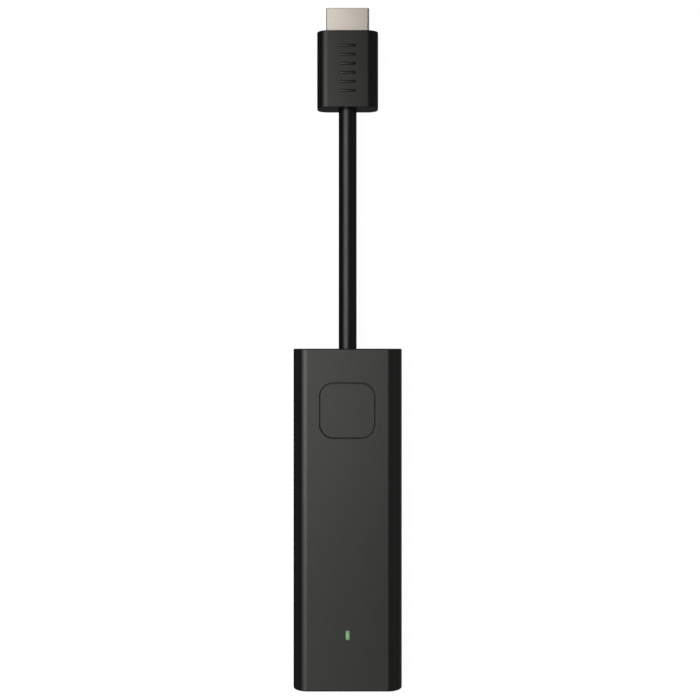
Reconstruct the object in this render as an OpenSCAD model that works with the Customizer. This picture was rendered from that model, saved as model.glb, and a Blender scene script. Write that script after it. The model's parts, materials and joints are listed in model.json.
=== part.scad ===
// Streaming media player: a slim dark box with one square button and a status light, on a short fixed
// lead that ends in a flat video plug. It lies on its back. +Z points out of the front face, +Y points
// to the plug, and the origin is the middle of the back face. All sizes are in millimetres.

/* [Body] */
// Width across the body
body_w = 35; // [34.4:0.2:38]
// Length of the body
body_l = 109.6; // [109:0.2:116]
// Thickness from the back to the front face
body_h = 13; // [13:0.2:15]
// Distance from each side to where the flat faces begin
edge_in = 4.7; // [3.6:0.1:4.8]
// Height of the upright strip along the middle of each side, between its two curves
side_flat = 1; // [0.6:0.2:2]
// Thickness of the walls of both covers
wall = 1.5; // [1.4:0.05:1.6]

/* [Button] */
// Width of the square button, to the middle of the gap round it
button_w = 17.6; // [16:0.2:18]
// Corner radius of the button, to the middle of the gap round it
button_r = 4.4; // [3:0.2:6]
// Gap between the button and its opening
button_gap = 0.35; // [0.3:0.05:0.45]
// Distance from the lead's end of the body to the middle of the button
button_from_end = 19.8; // [19.3:0.1:20.5]
// Travel of the button
button_travel = 0.4; // [0.2:0.05:0.4]

/* [Light] */
// Width of the status light
light_w = 1.3; // [1:0.1:2]
// Length of the status light
light_l = 3.1; // [2.4:0.1:4]
// Distance from the free end of the body to the middle of the light
light_from_end = 18; // [17:0.1:19]

/* [Lead] */
// Diameter of the cable
cable_d = 5.8; // [5:0.1:6]
// Width of the plug's moulded grip
plug_w = 19.7; // [19:0.1:22]
// Length of the plug's moulded grip
plug_l = 24.7; // [24:0.1:30]
// Thickness of the plug's moulded grip
plug_h = 11; // [10.6:0.2:12]
// Radius of the grip's long edges
plug_r = 3.6; // [2.5:0.1:3.7]
// Length of plug tongue that stands out of the grip
tongue_out = 7.9; // [7:0.1:12]

/* [Hidden] */

// Fineness of round features
round_fn = 64;
small_fn = 32;
// Overrun of a cut past the face it opens
over = 1;

// Ends of the body, and the inner faces of its end walls
end_y = body_l / 2;
inner_y = end_y - wall;
inner_w = body_w - 2 * wall;
front_z = body_h - wall;
split_z = body_h / 2;
// Height of each side's curve, from the upright strip to the face
side_rise = (body_h - side_flat) / 2;

// The rear cover's lip stands inside the front cover's rebate
lip_h = 1.2;
lip_gap = 0.1;
rebate = wall / 2;

// Blank rating label, in a shallow recess of the back
label_w = 22;
label_l = 54;
label_r = 1.5;
label_y = -12;
label_t = 0.12;
label_recess = 0.2;
label_margin = 0.3;

// Main board, held on four bosses
board_w = 30;
board_t = 1;
board_z = 4.2;
board_top = board_z + board_t;
board_y0 = -inner_y + 0.4;
board_y1 = 42;
boss_r = 1.9;
screw_r = 0.8;
screw_head_r = 1.4;
screw_head_h = 0.8;
screw_fit = 0.05;
boss_x = 12.4;
boss_ys = [-42, 24.5];

// Button, guided by a square collar under the front wall
button_y = end_y - button_from_end;
cap_w = button_w - button_gap;
cap_r = button_r - button_gap / 2;
opening_w = button_w + button_gap;
opening_r = button_r + button_gap / 2;
flange_w = opening_w + 1.6;
flange_h = 0.9;
flange_z = front_z - 0.1 - flange_h;
collar_w = flange_w + 2 * button_gap;
collar_t = 0.9;
collar_h = 2.2;

// Press switch on the board under the button
switch_w = 6.2;
switch_h = 2.4;
switch_top = board_top + switch_h;
well_r = 2.6;
well_z = board_top + 0.7;
dome_r = 2.4;
dome_h = 0.8;
frame_t = 0.2;
stem_r = 1.7;
stem_top = switch_top + 1.6;
collar_r = 2.2;

// Status light and its light pipe
light_y = light_from_end - end_y;
light_corner = 0.45;
light_fit = 0.05;
led_h = 0.6;
pipe_z = board_top + led_h + 0.3;

// Screening box over the chips, with the heat path above it
shield_w = 27;
shield_l = 35;
shield_y = 4;
shield_h = 1.9;
sheet_t = 0.2;
chip_h = 1.2;
lid_z = board_top + shield_h + sheet_t;
spreader_pad_t = 0.9;
spreader_t = 0.8;
spreader_z = lid_z + spreader_pad_t;

// Radio module
radio_w = 12;
radio_y = -24;
radio_board_t = 0.6;
radio_can_h = 1.5;

// Power jack in the free end of the body
jack_w = 8.94;
jack_h = 3.26;
jack_r = 1.6;
jack_l = 7.4;
jack_t = 0.3;
jack_inset = 0.5;
jack_z = board_top + jack_h / 2;
jack_y0 = -end_y + jack_inset;
jack_y1 = jack_y0 + jack_l;
jack_clear = 0.25;
jack_tongue_w = 6.7;
jack_tongue_t = 0.7;

// Grommet that anchors the lead inside the end wall, waisted so that the covers' ribs hold it
grommet_w = 11;
grommet_h = 8.6;
grommet_r = 2;
grommet_flange = 1.8;
grommet_l = 7;
grommet_y0 = inner_y - grommet_l;
waist_w = 8;
waist_h = 7;
rib_w = 16;
rib_clear = 0.1;
hole_clear = 0.15;
wire_r = 0.4;
wire_count = 7;
wire_pitch = 1.5;
wire_gap = 0.1;
wire_lift = 0.02;
wire_gather = 0.7;
pad_l = 3;

// Route of the lead: height of its middle at each distance along the body's own axis
lead_route = [
    [0, inner_y, split_z], [0, 58, 6.5], [0, 63, 6.5], [0, 68, 6.4], [0, 73, 6.3], [0, 78, 6.1],
    [0, 83, 5.9], [0, 88, 5.7], [0, 93, 5.6], [0, 98, 5.5], [0, 103, 5.4], [0, 108, 5.4],
    [0, 113, 5.4], [0, 118, 5.4], [0, 124, 5.5], [0, 130, 5.5], [0, 135.6, 5.5]
];
lead_sides = 12;
ring_step = 2;

// Plug at the end of the lead
plug_y0 = 132.3;
plug_y1 = plug_y0 + plug_l;
plug_z = plug_h / 2;
mould_y0 = 135.6;
mould_y1 = plug_y1 - 6;
mould_w = 15.6;
mould_h = 7.6;
mould_r = 1.5;
// The plug's metal tongue: wide on top, with its lower corners cut away
tongue_w = 13.9;
tongue_h = 4.45;
tongue_t = 0.35;
corner_x = 1.6;
corner_z = 1.9;
tongue_end = plug_y1 + tongue_out;
core_end = tongue_end - 1.2;
core_slot_w = 11.4;
core_slot_h = 2.3;
core_floor = 1.5;
contact_pitch = 1;
contact_w = 0.45;
contact_t = 0.25;

// ---------------------------------------------------------------- shared shapes

// A rounded rectangle w by h with corner radius r, centred.
module rounded_rect(w, h, r, fn = round_fn) {
    square([w - 2 * r, h], center = true);
    square([w, h - 2 * r], center = true);
    for (x = [-1, 1], y = [-1, 1])
        translate([x * (w / 2 - r), y * (h / 2 - r)]) circle(r = r, $fn = fn);
}

// A rounded bar along Y from y0 to y1, its middle at height z.
module bar(w, h, r, y0, y1, z, fn = round_fn) {
    translate([0, y1, z]) rotate([90, 0, 0]) linear_extrude(y1 - y0) rounded_rect(w, h, r, fn);
}

// A rounded plate lying flat from z0 to z1, its middle at y.
module plate(w, l, r, z0, z1, y, fn = round_fn) {
    translate([0, y, z0]) linear_extrude(z1 - z0) rounded_rect(w, l, r, fn);
}

// A box from y0 to y1 and z0 to z1, its middle at x.
module block(w, y0, y1, z0, z1, x = 0) {
    translate([x - w / 2, y0, z0]) cube([w, y1 - y0, z1 - z0]);
}

// A chip w by l standing h high on the board.
module chip(w, l, h, x, y, z = board_top) {
    block(w, y - l / 2, y + l / 2, z, z + h, x);
}

// A round rod from point p to point q.
module rod(p, q, r) {
    d = q - p;
    translate(p)
        rotate([0, acos(d[2] / norm(d)), atan2(d[1], d[0])])
            cylinder(r = r, h = norm(d), $fn = small_fn);
}

// ---------------------------------------------------------------- covers

// Section of the body: its sides are quarter ellipses, edge_in wide and side_rise high.
module body_section() {
    square([body_w - 2 * edge_in, body_h], center = true);
    square([body_w, side_flat], center = true);
    for (x = [-1, 1], y = [-1, 1])
        translate([x * (body_w / 2 - edge_in), y * side_flat / 2])
            scale([edge_in, side_rise]) circle(r = 1, $fn = round_fn);
}

// One half of the hollow body, between heights z0 and z1.
module body_half(z0, z1) {
    difference() {
        intersection() {
            translate([0, end_y, split_z]) rotate([90, 0, 0]) linear_extrude(body_l) body_section();
            block(2 * body_w, -body_l, body_l, z0, z1);
        }
        bar(inner_w, body_h - 2 * wall, edge_in - wall, -inner_y, inner_y, split_z);
    }
}

// Holes in the end walls, for the lead and for the power jack.
module end_holes() {
    translate([0, end_y + over, split_z])
        rotate([90, 0, 0])
            cylinder(r = cable_d / 2 + hole_clear, h = wall + 2 * over, $fn = round_fn);
    bar(jack_w + 2 * jack_clear, jack_h + 2 * jack_clear, jack_r + jack_clear,
        -end_y - over, -inner_y + over, jack_z);
}

// A cross rib between z0 and z1 that grips the grommet's waist.
module grommet_rib(z0, z1) {
    difference() {
        block(rib_w, grommet_y0 + grommet_flange + rib_clear,
              inner_y - grommet_flange - rib_clear, z0, z1);
        bar(waist_w + 2 * rib_clear, waist_h + 2 * rib_clear, grommet_r, grommet_y0, inner_y, split_z);
    }
}

module front_cover() {
    color([0.09, 0.09, 0.09])
    difference() {
        union() {
            body_half(split_z, body_h);
            plate(collar_w + 2 * collar_t, collar_w + 2 * collar_t, opening_r + collar_t,
                  front_z - collar_h, front_z + wall / 2, button_y);
            grommet_rib(split_z + lip_gap, front_z + wall / 2);
        }
        // rebate for the rear cover's lip
        block(body_w - 2 * rebate, -end_y + rebate, end_y - rebate,
              split_z - over, split_z + lip_h + lip_gap);
        plate(collar_w, collar_w, opening_r, front_z - collar_h - over, front_z, button_y);
        plate(opening_w, opening_w, opening_r, front_z - over, body_h + over, button_y);
        plate(light_w + 2 * light_fit, light_l + 2 * light_fit, light_corner,
              front_z - over, body_h + over, light_y, small_fn);
        end_holes();
    }
}

module rear_cover() {
    lip_out = rebate + lip_gap;
    color([0.08, 0.08, 0.08])
    difference() {
        union() {
            body_half(0, split_z);
            difference() {
                block(body_w - 2 * lip_out, -end_y + lip_out, end_y - lip_out,
                      split_z - over, split_z + lip_h);
                block(inner_w, -inner_y, inner_y, split_z - 2 * over, split_z + lip_h + over);
            }
            for (x = [-boss_x, boss_x], y = boss_ys)
                translate([x, y, wall / 2]) cylinder(r = boss_r, h = board_z - wall / 2, $fn = small_fn);
            grommet_rib(wall / 2, split_z);
        }
        for (x = [-boss_x, boss_x], y = boss_ys)
            translate([x, y, wall])
                cylinder(r = screw_r + screw_fit, h = board_z, $fn = small_fn);
        plate(label_w + 2 * label_margin, label_l + 2 * label_margin, label_r + label_margin,
              -over, label_recess, label_y);
        end_holes();
    }
}

module rating_label() {
    color([0.13, 0.13, 0.13])
        plate(label_w, label_l, label_r, label_recess - label_t, label_recess, label_y);
}

// ---------------------------------------------------------------- button and light

// Square cap with a hidden flange, and a boss that reaches down to the switch.
module button_cap() {
    color([0.09, 0.09, 0.09]) {
        plate(cap_w, cap_w, cap_r, flange_z + flange_h / 2, body_h, button_y);
        plate(flange_w, flange_w, opening_r, flange_z, flange_z + flange_h, button_y);
        translate([0, button_y, stem_top]) cylinder(r = stem_r + 0.8, h = flange_z - stem_top + 0.2,
                                                    $fn = small_fn);
    }
}

module light_pipe() {
    color([0.65, 0.9, 0.62]) {
        plate(light_w, light_l, light_corner - light_fit, pipe_z, body_h, light_y, small_fn);
        plate(light_w + 1.6, light_l + 1.6, light_corner + 0.6, front_z - 0.8, front_z, light_y, small_fn);
    }
}

module status_led() {
    color([0.95, 0.95, 0.85]) chip(1.6, 0.8, led_h, 0, light_y);
}

module switch_base() {
    color([0.15, 0.15, 0.15])
    difference() {
        chip(switch_w, switch_w, switch_h, 0, button_y);
        translate([0, button_y, well_z]) cylinder(r = well_r, h = switch_h, $fn = round_fn);
    }
}

// Snap dome: a low cap of a sphere that meets the stem at its top.
module switch_dome() {
    dome_ball = (dome_r * dome_r + dome_h * dome_h) / (2 * dome_h);
    color([0.75, 0.75, 0.75])
    intersection() {
        translate([0, button_y, well_z + dome_h - dome_ball]) sphere(r = dome_ball, $fn = round_fn);
        translate([0, button_y, well_z]) cylinder(r = dome_r, h = dome_h + over, $fn = round_fn);
    }
}

module switch_frame() {
    color([0.8, 0.8, 0.8])
    difference() {
        chip(switch_w, switch_w, frame_t, 0, button_y, switch_top);
        translate([0, button_y, switch_top - over])
            cylinder(r = stem_r + 0.3, h = frame_t + 2 * over, $fn = round_fn);
    }
}

module switch_plunger() {
    collar_top = switch_top - 0.1;
    color([0.85, 0.2, 0.15])
    translate([0, button_y, well_z + dome_h]) {
        cylinder(r = stem_r, h = stem_top - well_z - dome_h, $fn = round_fn);
        cylinder(r = collar_r, h = collar_top - well_z - dome_h, $fn = round_fn);
    }
}

// ---------------------------------------------------------------- board and what it carries

module main_board() {
    color([0.04, 0.28, 0.16])
    difference() {
        block(board_w, board_y0, board_y1, board_z, board_top);
        for (x = [-boss_x, boss_x], y = boss_ys)
            translate([x, y, board_z - over])
                cylinder(r = screw_r + 2 * screw_fit, h = board_t + 2 * over, $fn = small_fn);
    }
}

module board_screws() {
    color([0.7, 0.7, 0.7])
    for (x = [-boss_x, boss_x], y = boss_ys)
        translate([x, y, 0])
        difference() {
            union() {
                translate([0, 0, wall + 0.6])
                    cylinder(r = screw_r, h = board_top - wall, $fn = small_fn);
                translate([0, 0, board_top]) cylinder(r = screw_head_r, h = screw_head_h, $fn = small_fn);
            }
            // cross recess
            for (a = [0, 90])
                rotate([0, 0, a]) block(0.35, -0.8, 0.8, board_top + screw_head_h / 2, board_top + over);
        }
}

module processor() { color([0.12, 0.12, 0.13]) chip(14, 14, chip_h, 0, 11.5); }
module memory_chip() { color([0.1, 0.1, 0.1]) chip(9, 11, 1, -6.6, -6); }
module storage_chip() { color([0.1, 0.1, 0.1]) chip(11.5, 13, 0.9, 5.6, -5.6); }

module shield_frame() {
    color([0.72, 0.72, 0.7])
    difference() {
        chip(shield_w, shield_l, shield_h, 0, shield_y);
        chip(shield_w - 2 * sheet_t, shield_l - 2 * sheet_t, shield_h + 2 * over, 0, shield_y,
             board_top - over);
    }
}

module shield_lid() {
    skirt = 1.1;
    fit = 0.05;
    color([0.78, 0.78, 0.76])
    difference() {
        chip(shield_w + 2 * (sheet_t + fit), shield_l + 2 * (sheet_t + fit), skirt + sheet_t,
             0, shield_y, lid_z - sheet_t - skirt);
        chip(shield_w + 2 * fit, shield_l + 2 * fit, skirt + over, 0, shield_y,
             lid_z - sheet_t - skirt - over);
    }
}

// Soft pads carry heat from the processor to the lid, and from the lid to the spreader.
module chip_pad() {
    color([0.55, 0.6, 0.68]) chip(13, 13, shield_h - chip_h, 0, 11.5, board_top + chip_h);
}

module spreader_pad() {
    color([0.55, 0.6, 0.68]) chip(20, 24, spreader_pad_t, 0, 6, lid_z);
}

module heat_spreader() {
    leg_w = 0.8;
    leg_l = 4;
    half = shield_w / 2 + 1.4;
    color([0.82, 0.83, 0.84]) {
        block(2 * half, shield_y - 17, shield_y + 17, spreader_z, spreader_z + spreader_t);
        for (x = [-1, 1], y = [-12, 12])
            block(leg_w, shield_y + y - leg_l / 2, shield_y + y + leg_l / 2,
                  board_top, spreader_z + spreader_t / 2, x * (half - leg_w / 2));
    }
}

module radio_module() {
    color([0.05, 0.2, 0.3]) chip(radio_w, radio_w, radio_board_t, 0, radio_y);
}

module radio_can() {
    color([0.76, 0.76, 0.74]) chip(radio_w - 1, radio_w - 1, radio_can_h, 0, radio_y,
                                   board_top + radio_board_t);
}

// Folded sheet antenna along one edge of the board; side is -1 or 1.
module antenna(side) {
    edge_x = side * (board_w / 2 - 0.6);
    color([0.8, 0.66, 0.35]) {
        block(0.3, -34, -18, board_top + 1, board_top + 4.2, edge_x);
        for (y = [-33, -29, -20])
            block(0.3, y, y + 1, board_top, board_top + 1.5, edge_x);
    }
}
module antenna_left() { antenna(-1); }
module antenna_right() { antenna(1); }

module power_chip() { color([0.1, 0.1, 0.1]) chip(4, 4, 0.9, 7, -35); }

module inductors() {
    color([0.3, 0.3, 0.31])
    for (y = [-34, -40]) chip(4.4, 4.4, 2, -6.5, y);
}

module crystal() { color([0.8, 0.79, 0.74]) chip(3.2, 2.5, 0.8, 10.6, -17); }

// Small ceramic capacitors in rows round the power stage and beside the lead's end of the board.
module capacitors() {
    color([0.62, 0.5, 0.36]) {
        for (x = [4.5, 7, 9.5], y = [-31, -39, -41.5]) chip(1.6, 0.8, 0.8, x, y);
        for (x = [-11, -8.5, 8.5, 11], y = [33, 36]) chip(1.6, 0.8, 0.8, x, y);
    }
}

// ---------------------------------------------------------------- power jack

module power_jack_shell() {
    color([0.8, 0.8, 0.8])
    difference() {
        bar(jack_w, jack_h, jack_r, jack_y0, jack_y1, jack_z);
        bar(jack_w - 2 * jack_t, jack_h - 2 * jack_t, jack_r - jack_t, jack_y0 - over,
            jack_y1 - jack_t, jack_z);
    }
}

module power_jack_tongue() {
    color([0.1, 0.1, 0.1]) {
        block(jack_tongue_w, jack_y0 + 0.8, jack_y1 - jack_t - 0.5,
              jack_z - jack_tongue_t / 2, jack_z + jack_tongue_t / 2);
        bar(jack_w - 2 * jack_t, jack_h - 2 * jack_t, jack_r - jack_t,
            jack_y1 - jack_t - 1.2, jack_y1 - jack_t, jack_z);
    }
}

module power_jack_contacts() {
    pitch = 0.5;
    strip_w = 0.25;
    strip_t = 0.08;
    color([0.9, 0.7, 0.3])
    for (side = [-1, 1], i = [0 : 11])
        block(strip_w, jack_y0 + 1.2, jack_y0 + 5.2,
              jack_z + side * (jack_tongue_t + strip_t) / 2 - strip_t / 2,
              jack_z + side * (jack_tongue_t + strip_t) / 2 + strip_t / 2,
              (i - 5.5) * pitch);
}

// ---------------------------------------------------------------- lead

module cable_grommet() {
    color([0.12, 0.12, 0.12]) {
        bar(waist_w, waist_h, grommet_r, grommet_y0, inner_y, split_z, small_fn);
        bar(grommet_w, grommet_h, grommet_r, grommet_y0, grommet_y0 + grommet_flange, split_z, small_fn);
        bar(grommet_w, grommet_h, grommet_r, inner_y - grommet_flange, inner_y, split_z, small_fn);
    }
}

// Wires fan out from the grommet down to their pads on the board.
module cable_wires() {
    color([0.75, 0.3, 0.2])
    for (i = [0 : wire_count - 1]) {
        x = (i - (wire_count - 1) / 2) * wire_pitch;
        rod([x * wire_gather, grommet_y0 - wire_gap, split_z],
            [x, board_y1 - pad_l, board_top + wire_r + wire_lift], wire_r);
    }
}

// Sheet saddle soldered across the wires' screens.
module wire_clamp() {
    saddle_w = wire_count * wire_pitch + 1.4;
    saddle_z = board_top + 3 * wire_r;
    color([0.75, 0.75, 0.73]) {
        block(saddle_w, board_y1 - 2.4, board_y1 - 1, saddle_z, saddle_z + sheet_t);
        for (x = [-1, 1])
            block(0.4, board_y1 - 2.4, board_y1 - 1, board_top, saddle_z + sheet_t,
                  x * (saddle_w / 2 - 0.2));
    }
}

// Direction of the route at its point i, from the points on each side of it.
function route_dir(i) =
    let (a = lead_route[max(i - 1, 0)], b = lead_route[min(i + 1, len(lead_route) - 1)], d = b - a)
    d / norm(d);
// Ring of points round the route's point i. The end rings stand square to the lead's own axis.
function lead_ring(i) =
    let (at_end = i == 0 || i == len(lead_route) - 1,
         dir = at_end ? [0, 1, 0] : route_dir(i),
         up = cross([1, 0, 0], dir))
    [for (k = [0 : lead_sides - 1])
        let (a = 360 * k / lead_sides)
        lead_route[i] + cable_d / 2 * (cos(a) * [1, 0, 0] + sin(a) * up)];

// The lead's round jacket, one closed tube swept along the route.
module cable_jacket() {
    picks = [for (i = [0 : ring_step : len(lead_route) - 1]) i];
    rings = len(picks);
    n = lead_sides;
    sides = [for (r = [0 : rings - 2], k = [0 : n - 1])
        [r * n + k, r * n + (k + 1) % n, (r + 1) * n + (k + 1) % n, (r + 1) * n + k]];
    caps = [[for (k = [n - 1 : -1 : 0]) k], [for (k = [0 : n - 1]) (rings - 1) * n + k]];
    color([0.07, 0.07, 0.07])
        polyhedron(points = [for (i = picks) each lead_ring(i)], faces = concat(sides, caps));
}

// ---------------------------------------------------------------- plug

// How far the cut corner shrinks when the tongue's outline is drawn t inside itself.
function corner_scale(t) = 1 - t * (corner_x + corner_z - norm([corner_x, corner_z])) / (corner_x * corner_z);

// Outline of the metal tongue, t inside its outer face.
module tongue_outline(t) {
    w = tongue_w / 2 - t;
    h = tongue_h / 2 - t;
    cx = corner_x * corner_scale(t);
    cz = corner_z * corner_scale(t);
    polygon([[-w, h], [-w, cz - h], [cx - w, -h], [w - cx, -h], [w, cz - h], [w, h]]);
}

// The tongue's outline carried along Y from y0 to y1.
module tongue_bar(t, y0, y1) {
    translate([0, y1, plug_z]) rotate([90, 0, 0]) linear_extrude(y1 - y0) tongue_outline(t);
}

module plug_inner_mould() {
    color([0.85, 0.85, 0.82]) bar(mould_w, mould_h, mould_r, mould_y0, mould_y1, plug_z, small_fn);
}

module plug_overmold() {
    color([0.08, 0.08, 0.08])
    difference() {
        bar(plug_w, plug_h, plug_r, plug_y0, plug_y1, plug_z);
        bar(mould_w, mould_h, mould_r, mould_y0, mould_y1, plug_z, small_fn);
        tongue_bar(0, mould_y1 - 0.1, plug_y1 + over);
        translate([0, mould_y0 + 0.1, plug_z]) rotate([90, 0, 0])
            cylinder(r = cable_d / 2 + hole_clear, h = mould_y0 - plug_y0 + over, $fn = round_fn);
    }
}

module plug_shell() {
    color([0.78, 0.75, 0.71])
    difference() {
        tongue_bar(0, mould_y1, tongue_end);
        tongue_bar(tongue_t, mould_y1 - over, tongue_end + over);
    }
}

module plug_insulator() {
    color([0.1, 0.1, 0.1])
    difference() {
        tongue_bar(tongue_t, mould_y1, core_end);
        block(core_slot_w, mould_y1 + core_floor, core_end + over,
              plug_z - core_slot_h / 2, plug_z + core_slot_h / 2);
    }
}

// Contacts line the slot's roof and floor, ten above and nine below.
module plug_contacts() {
    reach = core_slot_h / 2;
    color([0.9, 0.72, 0.35])
    for (i = [0 : 18]) {
        above = i % 2 == 0;
        z0 = above ? plug_z + reach - contact_t : plug_z - reach;
        block(contact_w, mould_y1 + core_floor, core_end - 0.6, z0, z0 + contact_t,
              (i - 9) * contact_pitch / 2);
    }
}

front_cover();
rear_cover();
button_cap();
light_pipe();
rating_label();
main_board();
board_screws();
switch_base();
switch_dome();
switch_frame();
switch_plunger();
status_led();
processor();
memory_chip();
storage_chip();
shield_frame();
shield_lid();
chip_pad();
spreader_pad();
heat_spreader();
radio_module();
radio_can();
antenna_left();
antenna_right();
power_chip();
inductors();
capacitors();
crystal();
power_jack_shell();
power_jack_tongue();
power_jack_contacts();
cable_grommet();
cable_wires();
wire_clamp();
cable_jacket();
plug_overmold();
plug_inner_mould();
plug_shell();
plug_insulator();
plug_contacts();
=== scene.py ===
import json
import math

import bpy
import numpy as np
from mathutils import Matrix, Vector


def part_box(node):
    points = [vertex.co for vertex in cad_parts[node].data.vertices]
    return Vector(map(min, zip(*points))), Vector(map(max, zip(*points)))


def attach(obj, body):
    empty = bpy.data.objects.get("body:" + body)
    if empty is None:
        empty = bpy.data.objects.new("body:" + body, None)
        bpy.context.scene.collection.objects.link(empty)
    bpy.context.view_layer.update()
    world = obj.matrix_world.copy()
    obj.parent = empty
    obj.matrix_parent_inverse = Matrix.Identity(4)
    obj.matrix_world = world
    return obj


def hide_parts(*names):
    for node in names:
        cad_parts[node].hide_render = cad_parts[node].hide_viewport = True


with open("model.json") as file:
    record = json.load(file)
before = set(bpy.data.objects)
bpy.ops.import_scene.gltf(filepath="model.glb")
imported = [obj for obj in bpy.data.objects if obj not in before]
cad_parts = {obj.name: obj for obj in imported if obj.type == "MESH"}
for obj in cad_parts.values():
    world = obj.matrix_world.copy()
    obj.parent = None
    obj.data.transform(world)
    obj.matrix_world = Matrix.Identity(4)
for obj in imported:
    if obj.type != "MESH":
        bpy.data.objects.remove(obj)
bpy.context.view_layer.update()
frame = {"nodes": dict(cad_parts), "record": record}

bl_info = {
    "name": "Streaming Media Player",
    "version": (1, 0, 0),
    "blender": (4, 5, 0),
    "location": "3D View > Sidebar > Media Player",
    "description": "Dresses the media player's frame with its covers, button, lead, plug and finishes",
    "category": "Object",
}

MM = 0.001
# Points closer than this are one point of a mesh.
WELD = 1e-8
# A rounded rectangle's arcs stop this short of the middle of each side.
ARC_STOP = 1e-6

# ---------------------------------------------------------------- places and sizes, from the frame

front_low, front_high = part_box("front_cover")
rear_low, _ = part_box("rear_cover")
cap_low, cap_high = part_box("button_cap")
pipe_low, pipe_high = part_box("light_pipe")
label_low, label_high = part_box("rating_label")
grip_low, grip_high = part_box("plug_overmold")
tongue_low, tongue_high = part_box("plug_shell")
jack_low, jack_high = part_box("power_jack_shell")
jacket_low, jacket_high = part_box("cable_jacket")

BODY_W = front_high.x - front_low.x
END_Y = front_high.y
FACE_Z = front_high.z
SPLIT_Z = front_low.z
HALF_H = FACE_Z - SPLIT_Z

# The frame's button cap and light pipe both have a hidden flange this much wider than their openings.
FLANGE_STEP = 1.6 * MM
BUTTON_OPENING = cap_high.x - cap_low.x - FLANGE_STEP
BUTTON_Y = (cap_low.y + cap_high.y) / 2
LIGHT_W = pipe_high.x - pipe_low.x - FLANGE_STEP
LIGHT_L = pipe_high.y - pipe_low.y - FLANGE_STEP
LIGHT_Y = (pipe_low.y + pipe_high.y) / 2

LABEL_W = label_high.x - label_low.x
LABEL_L = label_high.y - label_low.y
LABEL_Y = (label_low.y + label_high.y) / 2
LABEL_RECESS = label_high.z - rear_low.z

JACK_W = jack_high.x - jack_low.x
JACK_H = jack_high.z - jack_low.z
JACK_Z = (jack_low.z + jack_high.z) / 2

GRIP_W = grip_high.x - grip_low.x
GRIP_H = grip_high.z - grip_low.z
PLUG_Z = (grip_low.z + grip_high.z) / 2
TONGUE_W = tongue_high.x - tongue_low.x
TONGUE_H = tongue_high.z - tongue_low.z

# The lead's route, the same points as the frame's own jacket.
LEAD_ROUTE = np.array([
    (0, 53.3, 6.5), (0, 58, 6.5), (0, 63, 6.5), (0, 68, 6.4), (0, 73, 6.3), (0, 78, 6.1),
    (0, 83, 5.9), (0, 88, 5.7), (0, 93, 5.6), (0, 98, 5.5), (0, 103, 5.4), (0, 108, 5.4),
    (0, 113, 5.4), (0, 118, 5.4), (0, 124, 5.5), (0, 130, 5.5), (0, 135.6, 5.5),
]) * MM
LEAD_D = jacket_high.x - jacket_low.x

# The openings for the light window, the lead and the power jack are this much wider than what they hold.
LIGHT_PLAY = 0.06 * MM
LEAD_PLAY = 0.3 * MM
JACK_PLAY = 0.5 * MM


# ---------------------------------------------------------------- settings

class PlayerShape(bpy.types.PropertyGroup):
    """Sizes of the details that the frame leaves plain."""

    edge_in: bpy.props.FloatProperty(
        name="Edge in", description="Distance from each side to where the flat faces begin",
        default=4.7 * MM, min=3 * MM, max=5 * MM, unit="LENGTH")
    side_flat: bpy.props.FloatProperty(
        name="Side flat", description="Height of the upright strip along the middle of each side",
        default=1 * MM, min=0.5 * MM, max=2 * MM, unit="LENGTH")
    wall: bpy.props.FloatProperty(
        name="Wall", description="Thickness of both covers",
        default=1.5 * MM, min=1 * MM, max=2 * MM, unit="LENGTH")
    end_break: bpy.props.FloatProperty(
        name="End break", description="Rounding where the long faces meet the square ends",
        default=0.45 * MM, min=0.1 * MM, max=1 * MM, unit="LENGTH")
    seam_break: bpy.props.FloatProperty(
        name="Seam break", description="Rounding of each cover's edge along the split line",
        default=0.16 * MM, min=0.05 * MM, max=0.4 * MM, unit="LENGTH")
    button_radius: bpy.props.FloatProperty(
        name="Button radius", description="Corner radius to the middle of the gap round the button",
        default=4.4 * MM, min=2 * MM, max=6 * MM, unit="LENGTH")
    button_gap: bpy.props.FloatProperty(
        name="Button gap", description="Gap between the button and its opening",
        default=0.35 * MM, min=0.2 * MM, max=0.6 * MM, unit="LENGTH")
    rim_break: bpy.props.FloatProperty(
        name="Rim break", description="Rounding of the button and of its opening at the face",
        default=0.14 * MM, min=0.05 * MM, max=0.3 * MM, unit="LENGTH")
    grip_radius: bpy.props.FloatProperty(
        name="Grip radius", description="Radius of the plug grip's long edges",
        default=3.6 * MM, min=2 * MM, max=4 * MM, unit="LENGTH")
    grip_break: bpy.props.FloatProperty(
        name="Grip break", description="Rounding at both ends of the plug grip",
        default=0.28 * MM, min=0.2 * MM, max=1.2 * MM, unit="LENGTH")
    lead_diameter: bpy.props.FloatProperty(
        name="Lead diameter", description="Outside diameter of the lead's jacket",
        default=LEAD_D, min=4 * MM, max=7 * MM, unit="LENGTH")


class PlayerColours(bpy.types.PropertyGroup):
    """Colours and finishes that a user would change."""

    cover: bpy.props.FloatVectorProperty(
        name="Covers", description="Colour of the moulded covers and the button",
        default=(0.0115, 0.0118, 0.0108), size=3, subtype="COLOR")
    lead: bpy.props.FloatVectorProperty(
        name="Lead", description="Colour of the lead's jacket",
        default=(0.0038, 0.004, 0.0038), size=3, subtype="COLOR")
    grip: bpy.props.FloatVectorProperty(
        name="Grip", description="Colour of the plug's moulded grip",
        default=(0.0065, 0.0066, 0.0064), size=3, subtype="COLOR")
    nickel: bpy.props.FloatVectorProperty(
        name="Nickel", description="Colour of the plug tongue's warm nickel plate",
        default=(0.80, 0.735, 0.655), size=3, subtype="COLOR")
    light: bpy.props.FloatVectorProperty(
        name="Status light", description="Colour that the status light glows",
        default=(0.26, 0.50, 0.24), size=3, subtype="COLOR")


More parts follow.
